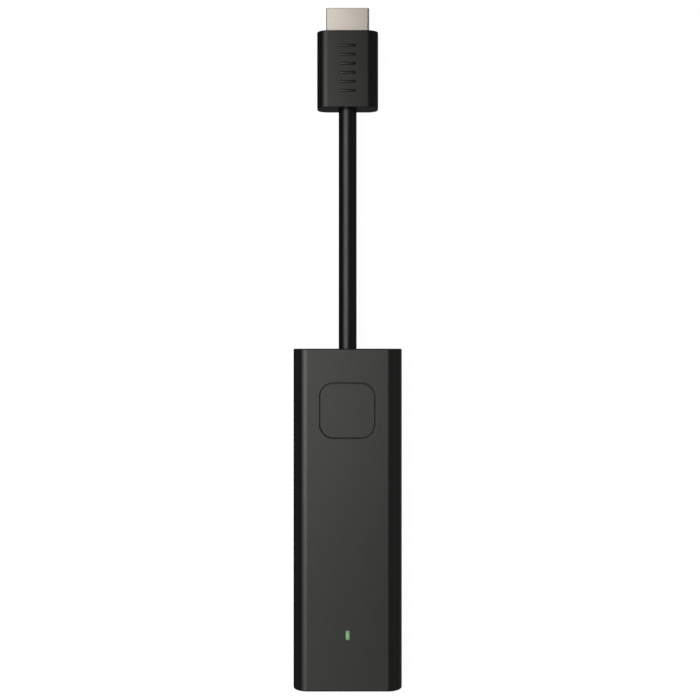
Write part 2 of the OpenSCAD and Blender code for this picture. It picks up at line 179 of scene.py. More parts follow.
class PlayerStage(bpy.types.PropertyGroup):
    """The studio round the player."""

    camera_height: bpy.props.FloatProperty(
        name="Camera height", description="Height of the camera above the front face",
        default=0.45, min=0.3, max=2, unit="LENGTH")
    view_middle: bpy.props.FloatVectorProperty(
        name="View middle", description="Point of the front face's plane in the middle of the view",
        default=(0.00076, 0.05436), size=2, unit="LENGTH")
    field_width: bpy.props.FloatProperty(
        name="Field width", description="Width of the view in the plane of the front face",
        default=0.22348, min=0.1, max=0.5, unit="LENGTH")
    key_glow: bpy.props.FloatProperty(
        name="Key glow", description="Radiance that the strength of every soft light is a share of",
        default=2.9, min=0, max=20)
    floor_glow: bpy.props.FloatProperty(
        name="Floor glow", description="Brightness of the pale floor",
        default=0.97, min=0, max=2, subtype="FACTOR")


# ---------------------------------------------------------------- outlines

def rounded_outline(corners, radius, steps):
    """Points of an anticlockwise outline whose corners are arcs of one radius.

    An arc's centre lies on the corner's bisector, radius / sin(half the corner's angle) from the corner, and
    its points turn in equal steps from the outward normal of the side before to that of the side after."""
    corners = np.asarray(corners, float)
    back = np.roll(corners, 1, 0) - corners
    ahead = np.roll(corners, -1, 0) - corners
    back /= np.linalg.norm(back, axis=1, keepdims=True)
    ahead /= np.linalg.norm(ahead, axis=1, keepdims=True)
    half = np.arccos(np.clip((back * ahead).sum(1), -1, 1)) / 2
    bisector = back + ahead
    bisector /= np.linalg.norm(bisector, axis=1, keepdims=True)
    centre = corners + bisector * (radius / np.sin(half))[:, None]
    start = np.arctan2(back[:, 0], -back[:, 1])
    turn = start[:, None] + (math.pi - 2 * half)[:, None] * np.linspace(0, 1, steps + 1)
    points = centre[:, None] + radius * np.stack([np.cos(turn), np.sin(turn)], -1)
    return points.reshape(-1, 2)


def rounded_rect(width, height, radius, steps=10):
    """A rounded rectangle about the origin, anticlockwise."""
    w, h = width / 2, height / 2
    radius = min(radius, w - ARC_STOP, h - ARC_STOP)
    return rounded_outline([(w, -h), (w, h), (-w, h), (-w, -h)], radius, steps)


def along_rays(outline, angles):
    """Where rays from the middle, at these angles, meet a closed outline that goes round it.

    On the side from p to p + s, the distance along the ray is cross(p, s) / cross(ray, s)."""
    turn = np.arctan2(outline[:, 1], outline[:, 0])
    first = int(np.argmin(turn))
    outline, turn = np.roll(outline, -first, 0), np.roll(turn, -first)
    turn = np.maximum.accumulate(turn)
    wrapped = turn[0] + np.mod(angles - turn[0], 2 * math.pi)
    side = np.searchsorted(turn, wrapped, side="right") - 1
    p = outline[side]
    s = outline[(side + 1) % len(outline)] - p
    ray = np.stack([np.cos(angles), np.sin(angles)], -1)
    reach = (p[:, 0] * s[:, 1] - p[:, 1] * s[:, 0]) / (ray[:, 0] * s[:, 1] - ray[:, 1] * s[:, 0])
    return ray * reach[:, None]


def quarter(steps):
    """Sine and cosine of equal steps over a quarter turn, from 0 to 90 degrees."""
    turn = np.linspace(0, math.pi / 2, steps + 1)
    return np.sin(turn), np.cos(turn)


def level(rings):
    """The same rings with no depth, for the plain inner side of a wall."""
    return [(offset, 0.0) for offset, _ in rings]


def rim_rings(break_radius, hold=0.06 * MM, steps=3):
    """(outward offset, depth) of the rings that roll an opening's edge from the face down into its wall.

    A ring just outside the rounding holds the face flat; the rounding is a quarter circle."""
    sine, cosine = quarter(steps)
    offsets = break_radius * (1 - sine)
    depths = break_radius * (1 - cosine)
    return [("hold", 0.0), (break_radius + hold, 0.0)] + list(zip(offsets, depths))


# ---------------------------------------------------------------- meshes

def make_mesh(name, points, quads, sharp_angle=38):
    """A mesh object at the origin from points and four-cornered faces, whose repeated corners are dropped."""
    points = np.asarray(points, float)
    tidy = np.round(points / WELD).astype(np.int64)
    _, keep, same = np.unique(tidy, axis=0, return_index=True, return_inverse=True)
    same = same.reshape(-1)
    quads = same[np.asarray(quads)]
    corner = quads != np.roll(quads, -1, 1)
    sizes = corner.sum(1)
    good = sizes > 2
    quads, corner, sizes = quads[good], corner[good], sizes[good]
    loops = quads[corner]
    mesh = bpy.data.meshes.new(name)
    mesh.vertices.add(len(keep))
    mesh.vertices.foreach_set("co", points[keep].astype(np.float32).ravel())
    mesh.loops.add(len(loops))
    mesh.loops.foreach_set("vertex_index", loops.astype(np.int32))
    mesh.polygons.add(len(sizes))
    starts = np.concatenate([[0], np.cumsum(sizes)[:-1]])
    mesh.polygons.foreach_set("loop_start", starts.astype(np.int32))
    mesh.polygons.foreach_set("use_smooth", np.ones(len(sizes), bool))
    mesh.update(calc_edges=True)
    mesh.validate()
    mesh.set_sharp_from_angle(angle=math.radians(sharp_angle))
    piece = bpy.data.objects.new(name, mesh)
    bpy.context.scene.collection.objects.link(piece)
    return piece


def ring_faces(rings, count, closed_around=True, closed_along=False):
    """Faces between rings of count points each, numbered in order."""
    ring = np.arange(rings if closed_along else rings - 1)[:, None]
    step = np.arange(count if closed_around else count - 1)[None, :]
    after = (ring + 1) % rings
    along = (step + 1) % count
    a, b = ring * count + step, ring * count + along
    c, d = after * count + along, after * count + step
    return np.stack([a, b, c, d], -1).reshape(-1, 4)


def loft(rings, cap_ends=True, closed_along=False):
    """(points, faces) of a skin through rings of equal length; capped ends shrink to their middles."""
    rings = np.asarray(rings, float)
    if cap_ends:
        first = np.repeat(rings[0].mean(0)[None], rings.shape[1], 0)
        last = np.repeat(rings[-1].mean(0)[None], rings.shape[1], 0)
        rings = np.concatenate([first[None], rings, last[None]])
    return rings.reshape(-1, 3), ring_faces(rings.shape[0], rings.shape[1], True, closed_along)


def stand_up(outline, y):
    """An outline drawn in X and Z, anticlockwise seen from the plug's end, placed at y along the body."""
    return np.column_stack([-outline[:, 0], np.full(len(outline), y), outline[:, 1]])


def lie_flat(outline, z, y=0.0, x=0.0):
    """An outline drawn in X and Y, placed at height z with its middle at x and y."""
    return np.column_stack([outline[:, 0] + x, outline[:, 1] + y, np.full(len(outline), z)])


def shell_faces(faces, count):
    """Faces of a closed wall: an outer sheet, the inner sheet turned over, and a strip along each free edge.

    Both sheets number their points alike, the inner one's count higher. A free edge is one that a single
    face uses."""
    corner = faces != np.roll(faces, -1, 1)
    a, b = faces[corner], np.roll(faces, -1, 1)[corner]
    low, high = np.minimum(a, b), np.maximum(a, b)
    key = low * count + high
    _, where, uses = np.unique(key, return_index=True, return_counts=True)
    free = where[uses == 1]
    strip = np.stack([b[free], a[free], a[free] + count, b[free] + count], -1)
    return np.concatenate([faces, faces[:, ::-1] + count, strip])


def weld_pair(outer, inner, faces):
    """Joins points that coincide on the outer sheet, on both sheets alike, so that their free edges match."""
    tidy = np.round(outer / WELD).astype(np.int64)
    _, keep, same = np.unique(tidy, axis=0, return_index=True, return_inverse=True)
    return outer[keep], inner[keep], same.reshape(-1)[faces]


# ---------------------------------------------------------------- the covers' sheet

ARC_STEPS = 20
ACROSS = 40
# A row this far past a bend keeps the smoothing of its light beside the bend.
HOLD = 0.15 * MM
# Rounding of the edges of the end walls' holes, the label's recess and the light's slot.
END_RIM_BREAK = 0.2 * MM
LABEL_RIM_BREAK = 0.08 * MM
LIGHT_RIM_BREAK = 0.08 * MM
LIGHT_RIM_HOLD = 0.05 * MM


def section(inset, shape):
    """Half section of the body at each inset: x and height over the split line, right side to left.

    The seam's rounding, the upright strip, a quarter ellipse up to the flat face, then the same mirrored.
    An inset draws both of the ellipse's half axes in."""
    inset = np.atleast_1d(inset)[:, None]
    seam, low = shape.seam_break, shape.side_flat / 2
    flat = BODY_W / 2 - shape.edge_in
    ones = np.ones_like(inset)
    sine, cosine = quarter(2)
    seam_x = BODY_W / 2 - inset - seam * (1 - sine)[None]
    seam_z = seam * (1 - cosine)[None] * ones
    sine, cosine = quarter(ARC_STEPS)
    arc_x = flat + (shape.edge_in - inset) * cosine[None]
    arc_z = low + (HALF_H - low - inset) * sine[None]
    right_x = np.hstack([seam_x, arc_x])
    right_z = np.hstack([seam_z, arc_z])
    stations = np.concatenate([[flat - HOLD], np.linspace(flat, -flat, ACROSS + 1)[1:-1], [HOLD - flat]])
    flat_x = stations[None] * ones
    flat_z = (HALF_H - inset) * np.ones_like(flat_x)
    x = np.hstack([right_x, flat_x, -right_x[:, ::-1]])
    z = np.hstack([right_z, flat_z, right_z[:, ::-1]])
    return x, z, right_x.shape[1] - 1


def cover_sheet(shape, inset, end_y, end_break, windows, end_holes):
    """(points, faces) of one sheet of a cover, heights counted from the split line.

    The half section is carried from end to end and drawn in by a quarter circle at each end. Where a
    window lies, the flat face's grid gives way to rings that run from the grid to the window's outline
    along rays from its middle. Each end wall is a fan of rings from the section to its hole.

    windows has "stations", which are (from, to, steps) along the body, and "openings", which are
    (from, to, outline, rings). end_holes has (outline, rings) for the free end and for the lead's end.
    A ring is (outward offset, depth), and its offset is "hold" beside the grid and None at the middle."""
    sine, cosine = quarter(4)
    drawn = end_break * (1 - sine)
    ys = list(-end_y + end_break * (1 - cosine)) + [HOLD + end_break - end_y]
    for low, high, steps in windows["stations"]:
        ys += list(np.linspace(low, high, steps + 1)[(0 if low > ys[-1] + WELD else 1):])
    ys += [end_y - end_break - HOLD] + list(end_y - end_break * (1 - cosine[::-1]))
    ys = np.array(ys)
    pull = np.zeros(len(ys))
    pull[:len(drawn)] = drawn
    pull[-len(drawn):] = drawn[::-1]
    x, z, last_side = section(inset + pull, shape)
    rows, cols = x.shape
    points = [np.stack([x, np.repeat(ys[:, None], cols, 1), z], -1).reshape(-1, 3)]
    index = np.arange(rows * cols).reshape(rows, cols)
    left, right = last_side, cols - 1 - last_side
    hole = np.zeros((rows - 1, cols - 1), bool)
    faces = []
    total = rows * cols
    top = HALF_H - inset
    for low, high, outline, rings in windows["openings"]:
        v0 = int(np.argmin(abs(ys - low)))
        v1 = int(np.argmin(abs(ys - high)))
        hole[v0:v1, left:right] = True
        edge = np.concatenate([
            index[v0, right:left:-1], index[v0:v1, left], index[v1, left:right], index[v1:v0:-1, right]])
        place = np.stack([x.reshape(-1)[edge], np.repeat(ys, cols)[edge]], -1)
        middle = np.array([0.0, (low + high) / 2])
        from_middle = place - middle
        angles = np.arctan2(from_middle[:, 1], from_middle[:, 0])
        previous = edge
        for offset, depth in rings:
            if offset is None:
                flat = np.zeros((len(edge), 2))
            elif offset == "hold":
                flat = from_middle * (1 - HOLD / abs(from_middle).max())
            else:
                flat = along_rays(outline(offset), angles)
            new = np.column_stack([flat[:, 0], flat[:, 1] + middle[1], np.full(len(edge), top - depth)])
            points.append(new)
            current = total + np.arange(len(edge))
            total += len(edge)
            faces.append(np.stack([previous, np.roll(previous, -1), np.roll(current, -1), current], -1))
            previous = current
    grid = np.stack([index[:-1, :-1], index[1:, :-1], index[1:, 1:], index[:-1, 1:]], -1)
    faces.insert(0, grid[~hole])
    for row, sign, outline, rings in ((0, -1, *end_holes[0]), (rows - 1, 1, *end_holes[1])):
        edge = index[row]
        angles = np.arctan2(z[row], x[row])
        angles[0], angles[-1] = 0.0, math.pi
        previous = edge
        for offset, depth in rings:
            flat = along_rays(outline(offset), angles)
            new = np.column_stack([flat[:, 0], np.full(cols, sign * (end_y - depth)), flat[:, 1]])
            points.append(new)
            current = total + np.arange(cols)
            total += cols
            strip = np.stack([previous[:-1], current[:-1], current[1:], previous[1:]], -1)
            faces.append(strip if sign > 0 else strip[:, ::-1])
            previous = current
    return np.concatenate(points), np.concatenate(faces)


def cover_piece(name, shape, windows, inner_windows, end_holes, inner_end_holes, upside_down):
    """One cover as a closed wall: its outer and inner sheets and the strips between their free edges."""
    # The wall's inner corners at the ends are sharper than the outer ones.
    inner_break = shape.end_break / 4
    outer, faces = cover_sheet(shape, 0.0, END_Y, shape.end_break, windows, end_holes)
    inner, _ = cover_sheet(shape, shape.wall, END_Y - shape.wall, inner_break,
                           inner_windows, inner_end_holes)
    outer, inner, faces = weld_pair(outer, inner, faces)
    faces = shell_faces(faces, len(outer))
    points = np.concatenate([outer, inner])
    if upside_down:
        points = points * (1, 1, -1)
        faces = faces[:, ::-1]
    return make_mesh(name, points + (0, 0, SPLIT_Z), faces)


# ---------------------------------------------------------------- materials

def fill(tree, node, inputs):
    """Links or sets each of a node's inputs."""
    for key, value in inputs.items():
        if isinstance(value, bpy.types.NodeSocket):
            tree.links.new(value, node.inputs[key])
        else:
            node.inputs[key].default_value = value
    return node


def add(tree, kind, inputs=None, **settings):
    """A node of this kind, its settings and the values of its input sockets."""
    node = tree.nodes.new(kind)
    for key, value in settings.items():
        setattr(node, key, value)
    return fill(tree, node, inputs or {})


def new_material(name):
    """An empty material: (material, node tree, shader)."""
    material = bpy.data.materials.new(name)
    material.use_nodes = True
    tree = material.node_tree
    return material, tree, tree.nodes["Principled BSDF"]


def own_place(tree):
    """The place on a piece in its own coordinates."""
    return add(tree, "ShaderNodeTexCoord").outputs["Object"]


def remap(tree, value, low, high, new_low, new_high):
    """Maps a value from low to high onto new_low to new_high."""
    return add(tree, "ShaderNodeMapRange", {
        "Value": value, "From Min": low, "From Max": high,
        "To Min": new_low, "To Max": new_high}).outputs["Result"]


def spread(tree, value, low, high):
    """Maps a noise value from its usual middle stretch, 0.3 to 0.7, onto low to high."""
    return remap(tree, value, 0.3, 0.7, low, high)


def noise(tree, size, detail=2.0, stretch=None, roughness=0.5):
    """Noise whose blotches are about size metres across, in the piece's own coordinates."""
    place = own_place(tree)
    if stretch:
        place = add(tree, "ShaderNodeMapping", {"Vector": place, "Scale": stretch}).outputs["Vector"]
    return add(tree, "ShaderNodeTexNoise", {
        "Vector": place, "Scale": 1 / size, "Detail": detail, "Roughness": roughness}).outputs["Fac"]


def tint(tree, fac, colour, low, high):
    """The colour times low where fac is 0, and times high where it is 1."""
    dark = tuple(c * low for c in colour) + (1.0,)
    light = tuple(c * high for c in colour) + (1.0,)
    return add(tree, "ShaderNodeMix", {"Factor": fac, "A": dark, "B": light},
               data_type="RGBA", clamp_factor=True).outputs["Result"]


def bump(tree, height, depth, strength=1.0, normal=None):
    """A bump of this depth in metres."""
    inputs = {"Height": height, "Distance": depth, "Strength": strength}
    if normal is not None:
        inputs["Normal"] = normal
    return add(tree, "ShaderNodeBump", inputs).outputs["Normal"]


def moulding(name, colour, rough, grain=0.12 * MM, grain_depth=0.002 * MM, mottle=0.12,
             specular=0.5, smudge=0.012):
    """Moulded plastic: a spark-eroded grain, slow mottling of colour and faint smudges of gloss."""
    material, tree, shader = new_material(name)
    slow = noise(tree, 9 * MM, 3)
    fine = noise(tree, grain, 2)
    wiped = noise(tree, 5 * MM, 4, stretch=(1, 0.35, 1))
    ripple = bump(tree, noise(tree, 14 * MM, 1), 0.0015 * MM)
    fill(tree, shader, {
        "Base Color": tint(tree, spread(tree, slow, 0, 1), colour, 1 - mottle, 1 + mottle),
        "Roughness": spread(tree, wiped, rough - smudge, rough + smudge),
        "Normal": bump(tree, fine, grain_depth, normal=ripple),
        "Specular IOR Level": specular,
        "Specular Tint": (0.98, 1.0, 0.94, 1)})
    return material


def sheet_metal(name, colour, rough, lines=(1, 0.04, 1), depth=0.0015 * MM, spots=0.06):
    """Plated or rolled sheet: fine rolling lines along the sheet, and slow tarnish."""
    material, tree, shader = new_material(name)
    tarnish = noise(tree, 4 * MM, 4)
    drawn = noise(tree, 0.1 * MM, 3, stretch=lines)
    fill(tree, shader, {
        "Base Color": tint(tree, spread(tree, tarnish, 0, 1), colour, 1 - spots, 1 + spots / 2),
        "Roughness": spread(tree, drawn, rough - 0.05, rough + 0.06),
        "Normal": bump(tree, drawn, depth),
        "Metallic": 1.0})
    return material


def lead_jacket(name, colour):
    """Extruded jacket: its gloss and a faint ripple run along the lead in the tube's own UV map."""
    material, tree, shader = new_material(name)
    uv = add(tree, "ShaderNodeUVMap", uv_map="LeadMap").outputs["UV"]
    place = add(tree, "ShaderNodeMapping", {"Vector": uv, "Scale": (40, 3, 1)}).outputs["Vector"]
    streaks = add(tree, "ShaderNodeTexNoise", {
        "Vector": place, "Scale": 1.0, "Detail": 3.0}).outputs["Fac"]
    rippled = bump(tree, streaks, 0.006 * MM)
    fill(tree, shader, {
        "Base Color": tint(tree, spread(tree, streaks, 0, 1), colour, 0.85, 1.15),
        "Roughness": spread(tree, streaks, 0.3, 0.36),
        "Normal": bump(tree, noise(tree, 0.15 * MM, 2), 0.002 * MM, normal=rippled)})
    return material


def frosted_light(name, colour):
    """Frosted window lit from behind: brighter in its middle, dimmer at the rim, with a cloudy fill."""
    material, tree, shader = new_material(name)
    local = add(tree, "ShaderNodeMapping", {
        "Vector": own_place(tree),
        "Location": (0, -LIGHT_Y * 2 / LIGHT_L, -FACE_Z),
        "Scale": (2 / LIGHT_W, 2 / LIGHT_L, 1)}).outputs["Vector"]
    flat = add(tree, "ShaderNodeVectorMath", {0: local, 1: (1, 1, 0)}, operation="MULTIPLY").outputs["Vector"]
    reach = add(tree, "ShaderNodeVectorMath", {0: flat}, operation="LENGTH").outputs["Value"]
    glow = remap(tree, reach, 0.2, 1.25, 1.0, 0.45)
    cloud = spread(tree, noise(tree, 0.5 * MM, 2), 0.92, 1.08)
    bright = add(tree, "ShaderNodeMath", {0: glow, 1: cloud}, operation="MULTIPLY").outputs["Value"]
    fill(tree, shader, {
        "Emission Color": tint(tree, bright, colour, 0.2, 1.0),
        "Emission Strength": 0.55,
        "Base Color": tint(tree, bright, colour, 0.15, 0.4),
        "Roughness": spread(tree, noise(tree, 0.2 * MM, 2), 0.32, 0.4),
        "Normal": bump(tree, noise(tree, 0.1 * MM, 2), 0.003 * MM)})
    return material


def printed_board(name):
    """Green solder mask over copper: tracks in brick-like runs and dotted vias stand proud of the board."""
    material, tree, shader = new_material(name)
    place = own_place(tree)
    tracks = add(tree, "ShaderNodeTexBrick", {
        "Vector": place, "Scale": 1 / (3 * MM), "Mortar Size": 0.06, "Mortar Smooth": 0.2,
        "Brick Width": 1.7, "Row Height": 0.31}).outputs["Fac"]
    vias = add(tree, "ShaderNodeTexVoronoi", {"Vector": place, "Scale": 1 / (2.2 * MM)}).outputs["Distance"]
    dots = remap(tree, vias, 0.1, 0.14, 1.0, 0.0)
    pattern = add(tree, "ShaderNodeMath", {0: tracks, 1: dots}, operation="MAXIMUM").outputs["Value"]
    fill(tree, shader, {
        "Base Color": tint(tree, pattern, (0.012, 0.11, 0.055), 0.7, 1.7),
        "Roughness": spread(tree, noise(tree, 2 * MM, 2), 0.22, 0.32),
        "Normal": bump(tree, pattern, 0.02 * MM)})
    return material


def wire_colours(name):
    """Wire insulation, one colour to each wire across the fan."""
    material, tree, shader = new_material(name)
    across = add(tree, "ShaderNodeSeparateXYZ", {"Vector": own_place(tree)}).outputs["X"]
    half_fan = 5.5 * MM
    ramp = add(tree, "ShaderNodeValToRGB", {"Fac": remap(tree, across, -half_fan, half_fan, 0.0, 1.0)})
    ramp.color_ramp.interpolation = "CONSTANT"
    shades = [(0.5, 0.04, 0.03), (0.03, 0.2, 0.05), (0.05, 0.09, 0.4), (0.6, 0.58, 0.5),
              (0.55, 0.4, 0.03), (0.25, 0.1, 0.04), (0.03, 0.03, 0.03)]
    for i, shade in enumerate(shades):
        stop = ramp.color_ramp.elements.new(i / len(shades)) if i > 1 else ramp.color_ramp.elements[i]
        stop.position = i / len(shades)
        stop.color = (*shade, 1)
    fill(tree, shader, {
        "Base Color": ramp.outputs["Color"],
        "Roughness": spread(tree, noise(tree, 0.6 * MM, 2), 0.35, 0.5),
        "Normal": bump(tree, noise(tree, 0.3 * MM, 2), 0.01 * MM)})
    return material


# Each slot of the frame's record: the maker of its finish and what the maker is given.
SLOT_FINISHES = {
    "cover_plastic": (moulding, "CoverInside", (0.010, 0.010, 0.0097), 0.5),
    "clear_green": (moulding, "ClearGreen", (0.25, 0.5, 0.24), 0.3),
    "label_film": (moulding, "LabelFilm", (0.018, 0.018, 0.018), 0.5, 0.3 * MM),
    "circuit_board": (printed_board, "PrintedBoard"),
    "zinc_steel": (sheet_metal, "ZincSteel", (0.62, 0.63, 0.64), 0.3),
    "black_resin": (moulding, "BlackResin", (0.014, 0.014, 0.014), 0.45, 0.2 * MM, 0.004 * MM),
    "red_resin": (moulding, "RedResin", (0.5, 0.04, 0.03), 0.4),
    "led_lens": (moulding, "LedLens", (0.8, 0.8, 0.6), 0.2),
    "chip_resin": (moulding, "ChipResin", (0.022, 0.022, 0.024), 0.6, 0.12 * MM, 0.006 * MM),
    "tinned_sheet": (sheet_metal, "TinnedSheet", (0.68, 0.68, 0.66), 0.34),
    "heat_pad": (moulding, "HeatPad", (0.22, 0.28, 0.36), 0.8, 0.4 * MM, 0.02 * MM),
    "rolled_aluminium": (sheet_metal, "RolledAluminium", (0.78, 0.79, 0.8), 0.36),
    "gold_plate": (sheet_metal, "GoldPlate", (0.9, 0.66, 0.3), 0.25),
    "ferrite": (moulding, "Ferrite", (0.05, 0.05, 0.055), 0.7, 0.2 * MM, 0.01 * MM),
    "ceramic_tan": (moulding, "CeramicTan", (0.35, 0.24, 0.14), 0.4, 0.3 * MM, 0.004 * MM),
    "nickel_steel": (sheet_metal, "NickelSteel", (0.62, 0.59, 0.55), 0.3),
    "lead_rubber": (moulding, "LeadRubber", (0.009, 0.009, 0.009), 0.5),
    "wire_insulation": (wire_colours, "WireInsulation"),
    "grip_plastic": (moulding, "GripInside", (0.010, 0.010, 0.0097), 0.5),
    "inner_mould_plastic": (moulding, "InnerMould", (0.62, 0.62, 0.56), 0.45),
    "nickel_plug": (sheet_metal, "NickelPlug", (0.66, 0.60, 0.53), 0.28),
}


def finish_for_slot(slot):
    """The material of a slot, for the pieces of the frame that still show."""
    maker, *values = SLOT_FINISHES[slot]
    return maker(*values)


def dress(piece, material, body, slot, *nodes):
    """Gives a piece its material and its body, and hides the frame's nodes that it stands for. The slot is
    not used.
    """
    piece.data.materials.clear()
    piece.data.materials.append(material)
    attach(piece, body)
    if nodes:
        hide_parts(*nodes)
    return piece


# ---------------------------------------------------------------- operators

class PLAYER_OT_camera(bpy.types.Operator):
    """Stand the camera straight above the front face"""

    bl_idname = "player.camera"
    bl_label = "Camera"

    def execute(self, context):
        stage = context.scene.player_stage
        lens_data = bpy.data.cameras.new("Camera")
        lens_data.sensor_width = 36.0
        lens_data.lens = lens_data.sensor_width * stage.camera_height / stage.field_width
        lens_data.clip_start, lens_data.clip_end = 0.01, 50
        camera = bpy.data.objects.new("Camera", lens_data)
        context.scene.collection.objects.link(camera)
        camera.location = (*stage.view_middle, FACE_Z + stage.camera_height)
        context.scene.camera = camera
        return {"FINISHED"}


class PLAYER_OT_lead(bpy.types.Operator):
    """Make the lead's jacket along its route"""

    bl_idname = "player.lead"
    bl_label = "Lead"

    def execute(self, context):
        shape = context.scene.player_shape
        steps, sides = 6, 48
        path = smooth_path(LEAD_ROUTE, steps)
        piece = tube("lead_jacket", path, shape.lead_diameter / 2, sides)
        dress(piece, lead_jacket("LeadJacket", context.scene.player_colours.lead), "housing",
              "lead_rubber", "cable_jacket")
        with_pieces = ["plug_inner_mould", "plug_insulator", "plug_contacts"]
        with_pieces = [frame["nodes"][name] for name in with_pieces]
        with_pieces += [bpy.data.objects[name] for name in ("plug_grip", "plug_tongue", "grip_ribs")]
        return {"FINISHED"}


def smooth_path(points, steps):
    """Points along a Catmull-Rom curve through the route, steps to each stretch.

    Each stretch is the cubic through its two ends whose slopes are half the step from the point before to
    the point after."""
    padded = np.vstack([2 * points[0] - points[1], points, 2 * points[-1] - points[-2]])
    a, b, c, d = padded[:-3], padded[1:-2], padded[2:-1], padded[3:]
    t = (np.arange(steps) / steps)[None, :, None]
    a, b, c, d = (p[:, None] for p in (a, b, c, d))
    curve = b + 0.5 * t * ((c - a) + t * ((2 * a - 5 * b + 4 * c - d) + t * (3 * (b - c) + d - a)))
    return np.vstack([curve.reshape(-1, 3), points[-1]])


def tube(name, path, radius, sides):
    """A closed round tube along a path in the plane x = 0, with a UV map that runs round and along it.

    Each ring is the circle spanned by the X axis and the path's normal."""
    along = np.gradient(path, axis=0)
    along /= np.linalg.norm(along, axis=1, keepdims=True)
    side = np.array([1.0, 0, 0])
    up = np.cross(side, along)
    turn = np.linspace(0, 2 * math.pi, sides, endpoint=False)
    rings = path[:, None] + radius * (np.cos(turn)[None, :, None] * side
                                      + np.sin(turn)[None, :, None] * up[:, None])
    points, faces = loft(rings)
    piece = make_mesh(name, points, faces[:, ::-1])
    mesh = piece.data
    place = np.zeros(len(mesh.vertices) * 3, np.float32)
    mesh.vertices.foreach_get("co", place)
    place = place.reshape(-1, 3)
    corner = np.zeros(len(mesh.loops), np.int32)
    mesh.loops.foreach_get("vertex_index", corner)
    middle_z = np.interp(place[:, 1], path[:, 1], path[:, 2])
    around = np.arctan2(place[:, 2] - middle_z, place[:, 0]) / (2 * math.pi) + 0.5
    u, v = around[corner], place[corner, 1] / (2 * math.pi * radius)
    face = np.repeat(np.arange(len(mesh.polygons)), loop_counts(mesh))
    widest = np.zeros(len(mesh.polygons))
    np.maximum.at(widest, face, u)
    u = np.where(widest[face] - u > 0.5, u + 1, u)
    layer = mesh.uv_layers.new(name="LeadMap")
    layer.data.foreach_set("uv", np.stack([u, v], -1).astype(np.float32).ravel())
    return piece


def loop_counts(mesh):
    """How many corners each face of a mesh has."""
    counts = np.zeros(len(mesh.polygons), np.int32)
    mesh.polygons.foreach_get("loop_total", counts)
    return counts


def cable_hole(offset):
    """The round hole that the lead passes through, seen along the body."""
    width = LEAD_D + LEAD_PLAY + 2 * offset
    return rounded_rect(width, width, width / 2)


def jack_hole(side):
    """The power jack's hole, seen along the body from the split line; side is 1 for the front cover."""
    def outline(offset):
        w, h = JACK_W + JACK_PLAY + 2 * offset, JACK_H + JACK_PLAY + 2 * offset
        points = rounded_rect(w, h, h / 2)
        return points + (0, side * (JACK_Z - SPLIT_Z))
    return outline


def end_wall_holes(side, rim):
    """Outer and inner end holes of a cover: the power jack's at the free end, the lead's at the other."""
    rings = rim_rings(rim)[1:]
    outer_holes = ((jack_hole(side), rings), (cable_hole, rings))
    inner_holes = ((jack_hole(side), level(rings)), (cable_hole, level(rings)))
    return outer_holes, inner_holes


class PLAYER_OT_front_cover(bpy.types.Operator):
    """Make the front cover with its button opening and light slot"""

    bl_idname = "player.front_cover"
    bl_label = "Front Cover"

    def execute(self, context):
        shape = context.scene.player_shape
        reach = BODY_W / 2 - shape.edge_in
        opening_r = shape.button_radius + shape.button_gap / 2
        light_r = 0.5 * MM

        def button_outline(offset):
            width = BUTTON_OPENING + 2 * offset
            return rounded_rect(width, width, opening_r + offset, 16)

        def light_outline(offset):
            wider = LIGHT_PLAY + 2 * offset
            return rounded_rect(LIGHT_W + wider, LIGHT_L + wider, light_r + offset, 8)

        light_span = (LIGHT_Y - reach, LIGHT_Y + reach)
        button_span = (BUTTON_Y - reach, BUTTON_Y + reach)
        between = 24
        stations = [(*light_span, ACROSS), (light_span[1], button_span[0], between), (*button_span, ACROSS)]
        light_rim = rim_rings(LIGHT_RIM_BREAK, LIGHT_RIM_HOLD)
        button_rim = rim_rings(shape.rim_break)
        windows = {"stations": stations, "openings": [
            (*light_span, light_outline, light_rim),
            (*button_span, button_outline, button_rim)]}
        inner_windows = {"stations": stations, "openings": [
            (*light_span, light_outline, level(light_rim)),
            (*button_span, button_outline, level(button_rim))]}
        piece = cover_piece("front_cover_moulding", shape, windows, inner_windows,
                            *end_wall_holes(1, END_RIM_BREAK), False)
        satin = moulding("CoverSatin", context.scene.player_colours.cover, 0.27, specular=0.56)
        dress(piece, satin, "housing", "cover_plastic", "front_cover")
        return {"FINISHED"}


class PLAYER_OT_rear_cover(bpy.types.Operator):
    """Make the rear cover with its label recess"""

    bl_idname = "player.rear_cover"
    bl_label = "Rear Cover"

    def execute(self, context):
        shape = context.scene.player_shape
        reach = LABEL_L / 2 + 2 * MM
        margin, corner, floor_edge, steps = 0.3 * MM, 1.8 * MM, 0.3 * MM, 58

        def recess_outline(offset):
            wider = 2 * (margin + offset)
            return rounded_rect(LABEL_W + wider, LABEL_L + wider, corner + offset, 8)

        span = (LABEL_Y - reach, LABEL_Y + reach)
        stations = [(*span, steps)]
        rings = rim_rings(LABEL_RIM_BREAK)
        rings += [(0.0, LABEL_RECESS), (-floor_edge, LABEL_RECESS), (None, LABEL_RECESS)]
        windows = {"stations": stations, "openings": [(*span, recess_outline, rings)]}
        inner_windows = {"stations": stations, "openings": [(*span, recess_outline, level(rings))]}
        piece = cover_piece("rear_cover_moulding", shape, windows, inner_windows,
                            *end_wall_holes(-1, END_RIM_BREAK), True)
        satin = moulding("RearSatin", context.scene.player_colours.cover, 0.32)
        dress(piece, satin, "housing", "cover_plastic", "rear_cover")
        return {"FINISHED"}


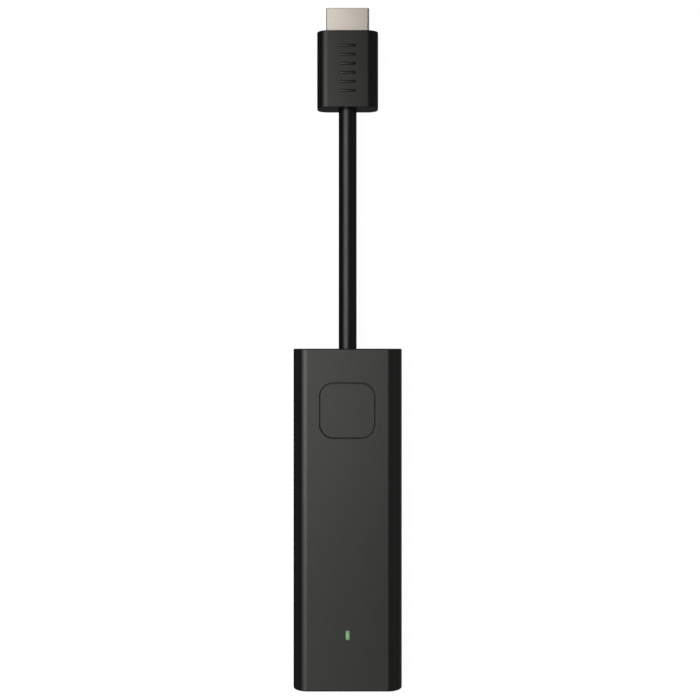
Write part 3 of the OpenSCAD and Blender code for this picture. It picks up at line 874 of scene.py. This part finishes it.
class PLAYER_OT_button(bpy.types.Operator):
    """Make the square button cap"""

    bl_idname = "player.button"
    bl_label = "Button"

    def execute(self, context):
        shape = context.scene.player_shape
        width = BUTTON_OPENING - 2 * shape.button_gap
        radius = shape.button_radius - shape.button_gap / 2
        sine, cosine = quarter(3)
        stem_d, flange_low, flange_high = 5 * MM, cap_low.z + 1.3 * MM, cap_low.z + 2.2 * MM
        flange_reach = (cap_high.x - cap_low.x - width) / 2
        hold, inner_ring = 0.06 * MM, 2 * MM

        def ring(inset, z):
            side = width - 2 * inset
            return lie_flat(rounded_rect(side, side, radius - inset, 16), z, BUTTON_Y)

        # From below: the round stem, the hidden flange, the cap's wall and the rounding up to its face.
        stem = rounded_rect(stem_d, stem_d, stem_d / 2, 16)
        rings = [lie_flat(stem, z, BUTTON_Y) for z in (cap_low.z, flange_low)]
        rings += [ring(-flange_reach, flange_low), ring(-flange_reach, flange_high), ring(0, flange_high)]
        break_radius = shape.rim_break
        rings += [ring(break_radius * (1 - c), FACE_Z - break_radius * (1 - s))
                  for s, c in zip(sine, cosine)]
        rings += [ring(break_radius + hold, FACE_Z), ring(inner_ring, FACE_Z)]
        points, faces = loft(rings)
        piece = make_mesh("button_moulding", points, faces)
        satin = moulding("ButtonSatin", context.scene.player_colours.cover, 0.27, specular=0.56)
        dress(piece, satin, "button", "cover_plastic", "button_cap")
        return {"FINISHED"}


class PLAYER_OT_light(bpy.types.Operator):
    """Make the status light's window"""

    bl_idname = "player.light"
    bl_label = "Status Light"

    def execute(self, context):
        corner, shoulder = 0.45 * MM, FACE_Z - 0.16 * MM
        rise, reach, steps = 0.14 * MM, 0.5 * MM, 6

        def ring(inset, z):
            outline = rounded_rect(LIGHT_W - 2 * inset, LIGHT_L - 2 * inset, corner - 0.6 * inset, 10)
            return lie_flat(outline, z, LIGHT_Y)

        # Over its upright wall the window bulges in a quarter ellipse, from the shoulder to the top.
        rings = [ring(0, pipe_low.z), ring(0, shoulder)]
        rings += [ring(t * reach, shoulder + rise * math.sqrt(1 - (1 - t) ** 2))
                  for t in np.linspace(0, 1, steps + 1)[1:]]
        points, faces = loft(rings)
        piece = make_mesh("status_light_window", points, faces, sharp_angle=60)
        dress(piece, frosted_light("FrostedLight", context.scene.player_colours.light), "housing",
              "clear_green", "light_pipe")
        return {"FINISHED"}


class PLAYER_OT_label(bpy.types.Operator):
    """Make the blank label on the back"""

    bl_idname = "player.label"
    bl_label = "Label"

    def execute(self, context):
        soft, corner, inner_ring = 0.03 * MM, 1.5 * MM, 1 * MM
        rings = [lie_flat(rounded_rect(LABEL_W - 2 * i, LABEL_L - 2 * i, corner - i, 10), z, LABEL_Y)
                 for i, z in ((inner_ring, label_low.z), (2 * soft, label_low.z), (soft, label_low.z),
                              (0, label_low.z + soft), (0, label_high.z))]
        points, faces = loft(rings)
        piece = make_mesh("blank_label", points, faces)
        dress(piece, moulding("LabelFilm", (0.02, 0.02, 0.02), 0.55, 0.3 * MM, 0.003 * MM), "housing",
              "label_film", "rating_label")
        return {"FINISHED"}


def tongue_outline(inset, bend):
    """The plug tongue seen along the lead: wide on top, its lower corners cut away, its bends rounded.

    An inset moves the slanted sides in as far as the others, which makes the cuts smaller in proportion."""
    cut_x, cut_z = 1.6 * MM, 1.9 * MM
    shrink = 1 - inset * (cut_x + cut_z - math.hypot(cut_x, cut_z)) / (cut_x * cut_z)
    w, h = TONGUE_W / 2 - inset, TONGUE_H / 2 - inset
    x, z = cut_x * shrink, cut_z * shrink
    corners = [(w - x, -h), (w, z - h), (w, h), (-w, h), (-w, z - h), (x - w, -h)]
    return rounded_outline(corners, bend, 6)


class PLAYER_OT_plug_grip(bpy.types.Operator):
    """Make the plug's moulded grip and its ribs"""

    bl_idname = "player.plug_grip"
    bl_label = "Plug Grip"

    def execute(self, context):
        shape = context.scene.player_shape
        soft = shape.grip_break
        base = rounded_rect(GRIP_W, GRIP_H, shape.grip_radius, 14)
        angles = np.arctan2(base[:, 1], base[:, 0])
        sine, cosine = quarter(5)

        def ring(inset, y):
            outline = rounded_rect(GRIP_W - 2 * inset, GRIP_H - 2 * inset, shape.grip_radius - inset, 14)
            return outline, y

        # Both ends have a blind hole whose mouth is a little wider than the rest of it.
        depth, mouth_depth, hold = 2 * MM, 0.2 * MM, 0.1 * MM
        lead_flare, tongue_flare = 1.05, 1.04
        tongue_play, tongue_bend = 0.03 * MM, 0.5 * MM
        lead_hole = along_rays(cable_hole(0.0), angles)
        tongue_hole = along_rays(tongue_outline(-tongue_play, tongue_bend), angles)
        rows = [(lead_hole, grip_low.y + depth), (lead_hole, grip_low.y + mouth_depth),
                (lead_hole * lead_flare, grip_low.y)]
        rows += [ring(soft + hold, grip_low.y)]
        rows += [ring(soft * (1 - s), grip_low.y + soft * (1 - c)) for s, c in zip(sine, cosine)]
        rows += [ring(0, grip_low.y + soft + HOLD), ring(0, grip_high.y - soft - HOLD)]
        rows += [ring(soft * (1 - c), grip_high.y - soft * (1 - s)) for s, c in zip(sine, cosine)]
        rows += [ring(soft + hold, grip_high.y)]
        rows += [(tongue_hole * tongue_flare, grip_high.y), (tongue_hole, grip_high.y - mouth_depth),
                 (tongue_hole, grip_high.y - depth)]
        rings = [stand_up(outline, y) + (0, 0, PLUG_Z) for outline, y in rows]
        points, faces = loft(rings)
        piece = make_mesh("plug_grip", points, faces)
        grip = moulding("GripSatin", context.scene.player_colours.grip, 0.3, specular=0.42)
        dress(piece, grip, "housing", "grip_plastic", "plug_overmold")

        # Short low ribs across the middle of the upper face, where a thumb holds the plug.
        count, pitch, rib_w, rib_l, rise = 6, 2.9 * MM, 5.4 * MM, 0.9 * MM, 0.28 * MM
        sunk, towards_plug = 0.2 * MM, 0.2 * MM
        middle = (grip_low.y + grip_high.y) / 2 + towards_plug
        top = PLUG_Z + GRIP_H / 2
        # A rib's section from its sunk foot to its top: how far each ring is drawn in, and its height.
        section_rows = [(0, -sunk), (0, rise * 0.3), (0.06 * MM, rise * 0.8), (0.18 * MM, rise)]
        stack, faces_of_ribs = [], []
        for i in range(count):
            y = middle + (i - (count - 1) / 2) * pitch
            rings = [lie_flat(rounded_rect(rib_w - 2 * n, rib_l - 2 * n, rib_l / 2 - n, 5), top + z, y)
                     for n, z in section_rows]
            points, faces = loft(rings)
            stack.append(points)
            faces_of_ribs.append(faces + i * len(points))
        ribs = make_mesh("grip_ribs", np.concatenate(stack), np.concatenate(faces_of_ribs), sharp_angle=50)
        dress(ribs, grip, "housing", "grip_plastic")
        return {"FINISHED"}


def sleeve(name, outline, y0, y1, z, wall, lip):
    """A sheet sleeve along Y: outer and inner outlines joined at both ends, the open lip at y0 or y1 rolled.

    outline(inset) is its section; the lip is a half circle half the wall thick."""
    lip_steps = 6
    turn = np.linspace(0, math.pi, lip_steps + 1)
    step = 1 if lip == y1 else -1
    far = y0 if lip == y1 else y1
    start = lip - step * (wall / 2 + HOLD)
    rows = [(0.0, far), (0.0, start)]
    rows += [(wall / 2 * (1 - math.cos(a)), lip - step * (wall / 2) * (1 - math.sin(a))) for a in turn]
    rows += [(wall, start), (wall, far)]
    rings = [stand_up(outline(inset), y) + (0, 0, z) for inset, y in rows]
    points, faces = loft(rings, cap_ends=False, closed_along=True)
    return make_mesh(name, points, faces if step > 0 else faces[:, ::-1], sharp_angle=50)


class PLAYER_OT_plug_tongue(bpy.types.Operator):
    """Make the plug's metal tongue"""

    bl_idname = "player.plug_tongue"
    bl_label = "Plug Tongue"

    def execute(self, context):
        wall, bend, least_bend = 0.35 * MM, 0.7 * MM, 0.2 * MM

        def outline(inset):
            return tongue_outline(inset, max(bend - inset, least_bend))

        piece = sleeve("plug_tongue", outline, tongue_low.y, tongue_high.y, PLUG_Z, wall, tongue_high.y)
        metal = sheet_metal("WarmNickel", context.scene.player_colours.nickel, 0.55,
                            lines=(0.04, 1, 1), spots=0.02)
        dress(piece, metal, "housing", "nickel_plug", "plug_shell")
        return {"FINISHED"}


class PLAYER_OT_power_jack(bpy.types.Operator):
    """Make the power jack's metal sleeve"""

    bl_idname = "player.power_jack"
    bl_label = "Power Jack"

    def execute(self, context):
        wall = 0.3 * MM

        def outline(inset):
            w, h = JACK_W - 2 * inset, JACK_H - 2 * inset
            return rounded_rect(w, h, h / 2, 12)

        piece = sleeve("power_jack_sleeve", outline, jack_low.y, jack_high.y, JACK_Z, wall, jack_low.y)
        metal = sheet_metal("JackNickel", (0.62, 0.60, 0.57), 0.3)
        dress(piece, metal, "housing", "nickel_steel", "power_jack_shell")
        return {"FINISHED"}


class PLAYER_OT_inner_parts(bpy.types.Operator):
    """Give every piece of the frame that still shows the finish of its slot"""

    bl_idname = "player.inner_parts"
    bl_label = "Inner Parts"

    def execute(self, context):
        made = {}
        for part in frame["record"]["subparts"]:
            slot = part["material_slot"]
            if slot not in made:
                made[slot] = finish_for_slot(slot)
            mesh = frame["nodes"][part["node"]].data
            mesh.materials.clear()
            mesh.materials.append(made[slot])
        return {"FINISHED"}


class PLAYER_OT_stage(bpy.types.Operator):
    """Lay the pale floor and hang the soft lights"""

    bl_idname = "player.stage"
    bl_label = "Stage"

    def execute(self, context):
        scene = context.scene
        stage = scene.player_stage
        scene.view_settings.view_transform = "Standard"
        self.floor(scene, stage.floor_glow)
        glow = stage.key_glow
        # The key is a broad softbox to the left, hotter in its middle, dimmer at its edges and below.
        for name, along, strength in (("Upper", (-10, 24), 1.2), ("Lower", (-36, -10), 0.6)):
            self.panel("Spill" + name, (-9, 57), along, 0.22 * glow * strength, 0.95)
            self.panel("Softbox" + name, (0, 50), along, 0.38 * glow * strength, 0.90)
            self.panel("Core" + name, (20, 30), along, 0.75 * glow * strength, 0.85)
        self.panel("RightFill", (-90, -20), (-20, 20), 0.05 * glow)
        self.panel("RightEdge", (-92, -62), (-25, 25), 0.03 * glow, 1.0)
        self.panel("RightBounce", (-150, -94), (-25, 25), 0.04 * glow)
        self.panel("LeftBounce", (94, 130), (-25, 25), 0.02 * glow)
        self.panel("FloorBounce", (155, 205), (-20, 30), 0.022 * glow)
        # Low lights beyond both ends, which the long sides and the front face don't mirror from above.
        self.panel("FarEnd", (-45, 45), (62, 87), 0.2 * glow)
        self.panel("NearEnd", (-45, 45), (-87, -62), 0.15 * glow)
        for side, turn in (("Left", (58, 92)), ("Right", (-92, -58)), ("Under", (150, 210))):
            self.panel("Far" + side, turn, (30, 66), 0.12 * glow)
            self.panel("Near" + side, turn, (-66, -36), 0.12 * glow)
        return {"FINISHED"}

    def floor(self, scene, glow):
        """A wide pale sheet under the player, seen only from above, and a pale world past its edge."""
        half, drop = 4.0, 0.02 * MM
        mesh = bpy.data.meshes.new("floor")
        mesh.from_pydata([(-half, -half, 0), (half, -half, 0), (half, half, 0), (-half, half, 0)], [],
                         [(0, 1, 2, 3)])
        floor = bpy.data.objects.new("floor", mesh)
        scene.collection.objects.link(floor)
        floor.location.z = -drop
        material, tree, shader = new_material("PaleFloor")
        fill(tree, shader, {
            "Base Color": (0.08, 0.08, 0.08, 1), "Roughness": 1.0, "Specular IOR Level": 0.0,
            "Emission Color": (1, 1, 1, 1), "Emission Strength": glow})
        clear = add(tree, "ShaderNodeBsdfTransparent").outputs["BSDF"]
        back = add(tree, "ShaderNodeNewGeometry").outputs["Backfacing"]
        side = add(tree, "ShaderNodeMixShader", {0: back, 1: shader.outputs["BSDF"], 2: clear})
        fill(tree, tree.nodes["Material Output"], {"Surface": side.outputs["Shader"]})
        mesh.materials.append(material)
        floor.visible_glossy = False
        floor.visible_diffuse = False
        floor.visible_transmission = False
        floor.visible_shadow = False
        world = bpy.data.worlds.new("PaleRoom")
        world.use_nodes = True
        background = world.node_tree.nodes["Background"]
        fill(world.node_tree, background, {"Color": (1, 1, 1, 1), "Strength": glow})
        world.cycles_visibility.glossy = False
        world.cycles_visibility.diffuse = False
        world.cycles_visibility.transmission = False
        scene.world = world

    def panel(self, name, across, along, glow, distance=1.1):
        """A soft rectangular light of this radiance, seen from the player's middle between these angles.

        Angles are in degrees from straight above: across is positive to the left, along towards the plug.
        The width is twice the distance times the tangent of half the angle it spans, and so is the length."""
        low, high = np.radians(across), np.radians(along)
        turn, lean = low.mean(), high.mean()
        size = 2 * distance * np.tan([np.ptp(low) / 2, np.ptp(high) / 2])
        data = bpy.data.lights.new(name, "AREA")
        data.shape = "RECTANGLE"
        data.size, data.size_y = size
        # A flat light that shines evenly gives off pi times its radiance from every square metre.
        data.energy = math.pi * size[0] * size[1] * glow
        lamp = bpy.data.objects.new(name, data)
        toward = Vector((-math.sin(turn), math.tan(lean), math.cos(turn))).normalized()
        lamp.location = Vector((0, END_Y, FACE_Z)) + toward * distance
        wide = Vector((0, 1, 0)).cross(toward).normalized()
        lamp.rotation_euler = Matrix((wide, toward.cross(wide), toward)).transposed().to_euler()
        lamp.visible_camera = False
        bpy.context.scene.collection.objects.link(lamp)


class PLAYER_PT_panel(bpy.types.Panel):
    """Sizes, colours and steps of the media player"""

    bl_label = "Media Player"
    bl_idname = "PLAYER_PT_panel"
    bl_space_type = "VIEW_3D"
    bl_region_type = "UI"
    bl_category = "Media Player"

    def draw(self, context):
        layout = self.layout
        for group in (context.scene.player_shape, context.scene.player_colours, context.scene.player_stage):
            box = layout.box()
            for name in group.__annotations__:
                box.prop(group, name)
        for step in STEPS:
            layout.operator(step.bl_idname)


GROUPS = (PlayerShape, PlayerColours, PlayerStage)
STEPS = (
    PLAYER_OT_camera, PLAYER_OT_inner_parts, PLAYER_OT_plug_tongue, PLAYER_OT_plug_grip, PLAYER_OT_lead,
    PLAYER_OT_front_cover, PLAYER_OT_rear_cover, PLAYER_OT_button, PLAYER_OT_light, PLAYER_OT_label,
    PLAYER_OT_power_jack, PLAYER_OT_stage,
)


def register():
    for kind in (*GROUPS, *STEPS, PLAYER_PT_panel):
        bpy.utils.register_class(kind)
    bpy.types.Scene.player_shape = bpy.props.PointerProperty(type=PlayerShape)
    bpy.types.Scene.player_colours = bpy.props.PointerProperty(type=PlayerColours)
    bpy.types.Scene.player_stage = bpy.props.PointerProperty(type=PlayerStage)


def unregister():
    del bpy.types.Scene.player_stage
    del bpy.types.Scene.player_colours
    del bpy.types.Scene.player_shape
    for kind in (PLAYER_PT_panel, *reversed(STEPS), *reversed(GROUPS)):
        bpy.utils.unregister_class(kind)


def main():
    register()
    for step in STEPS:
        group, name = step.bl_idname.split(".")
        getattr(getattr(bpy.ops, group), name)()


if __name__ == "__main__":
    main()
